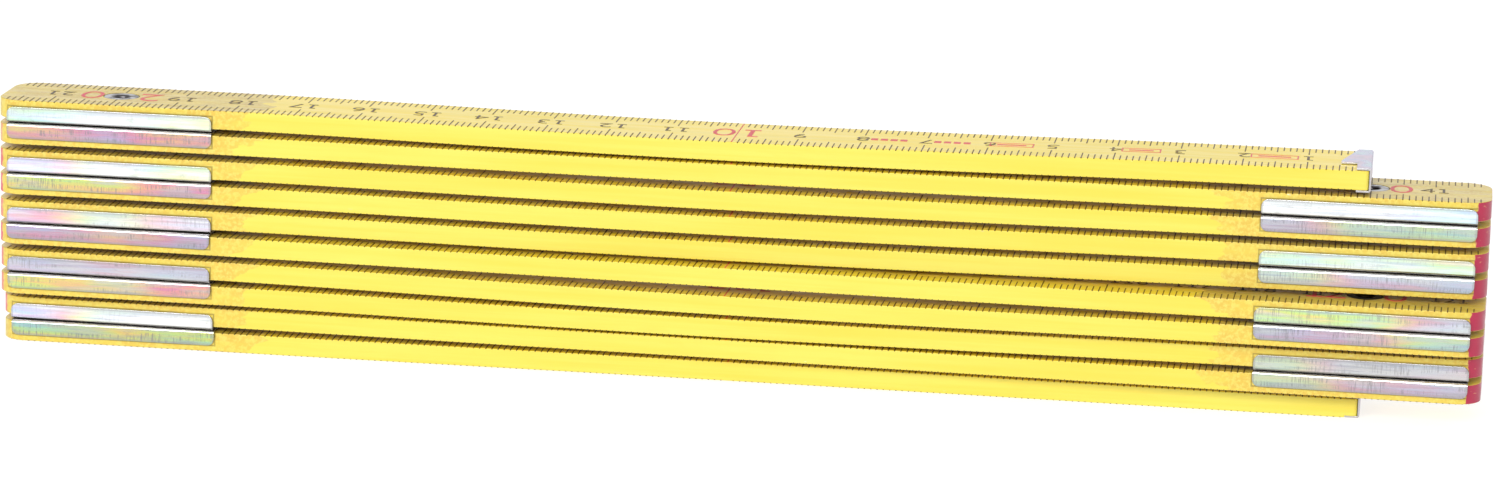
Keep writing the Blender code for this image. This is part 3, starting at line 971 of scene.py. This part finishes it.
def add_scale():
    black_ink = printed_ink("scale_black", (0.045, 0.024, 0.002), (0.34, 0.21, 0.02))
    red_ink = printed_ink("scale_red", (0.72, 0.05, 0.09), (0.86, 0.30, 0.16))
    clear_of_plate = PLATE_LENGTH / 2 + PLATE_CLEAR
    for number in range(1, SLAT_COUNT + 1):
        first, last = number == 1, number == SLAT_COUNT
        low, high = slat_span(number)
        top_low = CAP_TONGUE - 2.0 if last else low + PRINT_MARGIN
        under_low = CAP_LEG + 0.5 if last else clear_of_plate
        # A hinge plate covers the underside at the lower pivot, and the top face at the upper one
        tops = [(top_low, SPACING - clear_of_plate), (SPACING + clear_of_plate, high - PRINT_MARGIN)]
        unders = [(under_low, high - PRINT_MARGIN)]
        if first:
            tops = [(top_low, SPACING - CAP_LEG - CAP_CLEAR)]
            unders = [(under_low, SPACING - CAP_LEG - CAP_CLEAR)]
        black, red = Print(), Print()
        faces = ((tops, None if last else 0.0, False), (unders, None if first else SPACING, True))
        for spans, hole, underside in faces:
            for from_x, to_x in spans:
                for whole, part in zip((black, red), face_print(number, from_x, to_x, hole)):
                    if underside:
                        part.turned_over()
                    whole.take(part)
        if first:
            add_ornaments(red)
        where = slat_frame(number)
        add_piece(
            f"scale_black_{number:02d}", black.mesh("scale_black", number), [black_ink], where,
            segment(number), "scale_print_black",
        )
        add_piece(
            f"scale_red_{number:02d}", red.mesh("scale_red", number), [red_ink], where,
            segment(number), "scale_print_red",
        )


# ---------------------------------------------------------------- Folded sheet


def folded_sheet(path, along, length, bend_radius):
    """The outside of a strip that follows a path of (across, up) points, with rounded bends."""
    work = bmesh.new()
    half = Vector(along) * (length / 2)
    side = Vector(along).cross(Vector((0, 0, 1)))
    rail = [work.verts.new(side * across + Vector((0, 0, up)) - half) for across, up in path]
    for first, second in zip(rail, rail[1:]):
        work.edges.new((first, second))
    grown = bmesh.ops.extrude_edge_only(work, edges=list(work.edges))
    moved = [item for item in grown["geom"] if isinstance(item, bmesh.types.BMVert)]
    bmesh.ops.translate(work, vec=half * 2, verts=moved)
    work.normal_update()
    inside = sum((vert.co for vert in work.verts), Vector()) / len(work.verts)
    first_face = work.faces[:][0]
    if first_face.normal.dot(inside - first_face.calc_center_median()) > 0:
        bmesh.ops.reverse_faces(work, faces=work.faces)
    bends = [edge for edge in work.edges if len(edge.link_faces) == 2]
    bmesh.ops.bevel(
        work, geom=bends, offset=bend_radius, segments=BEND_STEPS, profile=0.5, affect="EDGES"
    )
    return work


def thickened(work, name, sheet):
    """Gives an open sheet its thickness, inwards."""
    thing = link(name, mesh_of(work, name))
    solidify = thing.modifiers.new("sheet", "SOLIDIFY")
    solidify.thickness = sheet
    solidify.offset = -1.0
    solidify.use_even_offset = True
    return thing


def break_edges(thing, width):
    bevel = thing.modifiers.new("rims", "BEVEL")
    bevel.width = width
    bevel.segments = 2
    bevel.limit_method = "ANGLE"
    bevel.angle_limit = math.radians(55)


def hinge_plate_mesh():
    """A hinge plate in its own frame: the pivot on Z, the joint's middle plane at Z = 0, flanges up."""
    outside = HALF_WIDTH + CAP_FIT + PLATE_SHEET
    bottom = CAP_FIT
    top = bottom + FLANGE_HEIGHT
    path = ((outside, top), (outside, bottom), (-outside, bottom), (-outside, top))
    work = folded_sheet(path, (1, 0, 0), PLATE_LENGTH, PLATE_BEND)
    corners = [vert for vert in work.verts if vert.co.z > top - 0.05]
    bmesh.ops.bevel(
        work, geom=corners, offset=PLATE_CORNER, segments=PLATE_CORNER_STEPS, profile=0.5,
        affect="VERTICES",
    )
    plate = thickened(work, "plate", PLATE_SHEET)
    bore_radius = SHANK_RADIUS + SEAT_FIT
    profile = ((0, CUT_PAST), (bore_radius, CUT_PAST), (bore_radius, -CUT_PAST), (0, -CUT_PAST))
    bore = turned("bore", profile, False)
    cut_with(plate, [bore])
    break_edges(plate, PLATE_RIM)
    mesh = settled(plate, "hinge_plate")
    drop([bore])
    return scaled(mesh)


def rivet_mesh():
    """A hollow rivet in its own frame, with the joint's middle plane at Z = 0."""
    top = SLAT_GAP / 2 + THICKNESS - RIVET_RIM_DROP
    mouth, rim = RIVET_MOUTH_ROUND, RIVET_RIM_ROUND
    head_corner = (HEAD_RADIUS - rim, top - rim)
    tail_corner = (TAIL_RADIUS - rim, rim - top)
    profile = [(SHANK_RADIUS, top - RIVET_RIM_DEPTH)]
    profile += [(HEAD_RADIUS - RIVET_RIM_PLAY, top - RIVET_RIM_DEPTH)]
    profile += arc(head_corner, rim, 0, 90, 4)
    profile += arc((RIVET_BORE + mouth, top - mouth), mouth, 90, 180, 6)
    profile += [(RIVET_BORE, mouth - top)]
    profile += arc((RIVET_BORE + mouth, mouth - top), mouth, 180, 270, 6)
    profile += arc(tail_corner, rim, 270, 360, 4)
    profile += [(TAIL_RADIUS - RIVET_RIM_PLAY, RIVET_RIM_DEPTH - top)]
    profile += [(SHANK_RADIUS, RIVET_RIM_DEPTH - top)]
    rivet = turned("rivet", profile, True)
    return scaled(settled(rivet, "rivet", 50))


def cap_mesh(name, upper, lower):
    """An end cap in the frame of its slat, with the scale's end at the spacing from the origin."""
    reach = SPACING - CAP_TONGUE
    past = 2 * HALF_WIDTH
    path = ((reach, upper), (SPACING, upper), (SPACING, lower), (SPACING - CAP_LEG, lower))
    work = folded_sheet(path, (0, 1, 0), CAP_WIDTH, CAP_BEND)
    cap = thickened(work, name, CAP_SHEET)
    notch = box((reach - CUT_PAST, -past, upper - 1), (SPACING - CAP_LEG, CAP_NOTCH_SIDE, upper + 1))
    notch = link("notch", mesh_of(notch, "notch"))
    slope = box((-past, 0, -1), (past, past, 1))
    slope = link("slope", mesh_of(slope, "slope"))
    slope.location = (reach, CAP_TIP_SIDE, upper)
    slope.rotation_euler.z = math.atan2(HALF_WIDTH - CAP_TIP_SIDE, CAP_TONGUE - CAP_LEG)
    cut_with(cap, [notch, slope])
    break_edges(cap, CAP_RIM)
    mesh = settled(cap, name)
    drop([notch, slope])
    return scaled(mesh)


# For each plate, upper then lower: hues and strengths at the left end, in the middle and at the right
# end, and how bright the metal is, set higher on the upper plates as a painted reflection of the light
# from above
PLATE_LOOKS = {
    1: (((0.2, 0.0, 0.3), (0.72, 0.12, 0.5), 0.96), ((0.56, 0.72, 0.56), (0.75, 0.8, 0.85), 0.49)),
    2: (((0.2, 0.1, 0.0), (0.06, 0.1, 0.6), 1.0), ((0.8, 0.2, 0.3), (0.35, 0.45, 0.6), 0.54)),
    3: (((0.92, 0.0, 0.34), (0.6, 0.04, 0.6), 1.0), ((0.38, 0.42, 0.62), (1.0, 1.0, 1.0), 0.54)),
    4: (((0.16, 0.12, 0.26), (0.6, 0.55, 0.6), 0.88), ((0.2, 0.9, 0.95), (0.35, 0.45, 0.5), 0.62)),
    5: (((0.9, 0.15, 0.85), (0.65, 0.3, 0.4), 0.86), ((0.82, 0.66, 0.86), (0.7, 0.65, 0.65), 0.5)),
    6: (((0.28, 0.25, 0.85), (1.0, 0.9, 0.35), 0.7), ((0.9, 0.72, 0.2), (0.5, 0.6, 0.6), 0.56)),
    7: (((0.86, 0.72, 0.88), (0.5, 0.4, 0.4), 0.65), ((0.4, 0.36, 0.62), (0.95, 0.85, 1.0), 0.58)),
    8: (((0.24, 0.9, 0.85), (0.35, 0.15, 0.25), 0.62), ((0.26, 0.72, 0.8), (0.4, 0.45, 0.5), 0.57)),
    9: (((0.9, 0.1, 0.0), (0.7, 0.2, 0.06), 0.97), ((0.22, 0.33, 0.27), (0.85, 1.0, 0.95), 0.47)),
}


def slat_turn(number):
    return slat_frame(number).to_euler().z


def add_joint_metal(number, plate, rivet):
    spot = Matrix.Translation(joint_place(number))
    above = Matrix.Rotation(slat_turn(number), 4, "Z")
    below = Matrix.Rotation(slat_turn(number + 1), 4, "Z")
    flip = Matrix.Rotation(math.pi, 4, "X")
    upper, lower = PLATE_LOOKS[number]
    # Seen from the front, the slats over the even joints are turned half round, and so are their plates
    way = 1.0 if number % 2 else -1.0
    zinc = zinc_plate(f"zinc_upper_{number:02d}", 2.0 + 4.7 * number, way, True, *upper)
    add_piece(
        f"hinge_upper_{number:02d}", plate.copy(), [zinc], spot @ above, segment(number),
        "zinc_plated_steel", f"hinge_plate_upper_{number:02d}",
    )
    zinc = zinc_plate(f"zinc_lower_{number:02d}", 51.0 + 3.9 * number, -way, False, *lower)
    add_piece(
        f"hinge_lower_{number:02d}", plate.copy(), [zinc], spot @ below @ flip, segment(number + 1),
        "zinc_plated_steel", f"hinge_plate_lower_{number:02d}",
    )
    steel = rivet_steel(f"rivet_{number:02d}", 1.0 + number, 0.0 if number < 3 else 1.0)
    add_piece(
        f"hollow_rivet_{number:02d}", rivet.copy(), [steel], spot, segment(number + 1),
        "rivet_steel", f"rivet_{number:02d}",
    )


def add_caps():
    proud = CAP_SHEET + CAP_FIT
    zero = cap_mesh("cap_zero", THICKNESS + proud, -proud)
    add_piece(
        "cap_zero", zero, [cap_steel("cap_zero", 3.0)], slat_frame(1), segment(1), "cap_steel",
        "end_cap_zero",
    )
    tail = cap_mesh("cap_tail", THICKNESS + proud, 0.0)
    # The last slat's own frame starts at its capped end, so its cap is turned to face it
    shifted = slat_frame(SLAT_COUNT) @ Matrix.Translation((SPACING * MM, 0, 0))
    add_piece(
        "cap_tail", tail, [cap_steel("cap_tail", 8.0)], shifted @ Matrix.Rotation(math.pi, 4, "Z"),
        segment(SLAT_COUNT), "cap_steel", "end_cap_tail",
    )


def add_metal():
    plate, rivet = hinge_plate_mesh(), rivet_mesh()
    for number in range(1, SLAT_COUNT):
        add_joint_metal(number, plate, rivet)
    add_caps()


# ---------------------------------------------------------------- Stage, light and camera


# Places and sizes here are in metres, angles in degrees, power in watts
KEY_LIGHT = {"size": (1.8, 0.6), "place": (-0.3, -1.6, 0.82), "power": 31.0}
BACK_LIGHT = {"size": (2.4, 0.9), "place": (0.1, 1.5, 0.6), "power": 4.3}
LIGHT_TARGET = (0.0, 0.0, 0.02)
SKY_STRENGTH = 0.54
FLOOR_GLOW = 0.75
FLOOR_GREY = (0.4, 0.4, 0.4)
FLOOR_HALF_MM = 4000.0
FLOOR_DEPTH_MM = 20.0
FLOOR_DROP_MM = 0.05
CAMERA_PLACE = (0.10897, -0.82610, 0.20132)
CAMERA_AZIMUTH = 7.34
CAMERA_ELEVATION = 12.242
CAMERA_ROLL = 1.6
CAMERA_LENS = 128.73


def add_stage():
    half = FLOOR_HALF_MM
    floor = box((-half, -half, -FLOOR_DEPTH_MM), (half, half, -FLOOR_DROP_MM))
    floor = link("floor", scaled(mesh_of(floor, "floor")))
    shader = Shader("pale_floor")
    shader.surface.inputs["Emission Color"].default_value = (1.0, 1.0, 1.0, 1.0)
    shader.surface.inputs["Emission Strength"].default_value = FLOOR_GLOW
    floor.data.materials.append(shader.finish(FLOOR_GREY, 0.9, specular_ior_level=0.1))


def add_light(name, size, place, power):
    light = bpy.data.lights.new(name, "AREA")
    light.shape = "RECTANGLE"
    light.size = size[0]
    light.size_y = size[1]
    light.energy = power
    lamp = link(name, light)
    lamp.location = place
    lamp.rotation_euler = (Vector(LIGHT_TARGET) - Vector(place)).to_track_quat("-Z", "Y").to_euler()


def add_world():
    world = bpy.data.worlds.new("studio")
    world.use_nodes = True
    background = world.node_tree.nodes["Background"]
    background.inputs["Color"].default_value = (1.0, 1.0, 1.0, 1.0)
    background.inputs["Strength"].default_value = SKY_STRENGTH
    bpy.context.scene.world = world


def add_camera():
    azimuth = math.radians(CAMERA_AZIMUTH)
    elevation = math.radians(CAMERA_ELEVATION)
    roll = math.radians(CAMERA_ROLL)
    flat = math.cos(elevation)
    back = Vector((math.sin(azimuth) * flat, -math.cos(azimuth) * flat, math.sin(elevation)))
    level = Vector((math.cos(azimuth), math.sin(azimuth), 0))
    up = back.cross(level)
    right = level * math.cos(roll) + up * math.sin(roll)
    above = up * math.cos(roll) - level * math.sin(roll)
    turn = Matrix((right, above, back)).transposed().to_4x4()
    data = bpy.data.cameras.new("camera")
    data.sensor_width = 36.0
    data.lens = CAMERA_LENS
    data.clip_start = 0.01
    data.clip_end = 50.0
    camera = link("camera", data)
    camera.matrix_world = Matrix.Translation(CAMERA_PLACE) @ turn
    bpy.context.scene.camera = camera


bpy.context.scene.view_settings.view_transform = "Standard"
add_world()
add_camera()
add_stage()
add_light("key", **KEY_LIGHT)
add_light("back", **BACK_LIGHT)
add_slats()
add_scale()
add_metal()
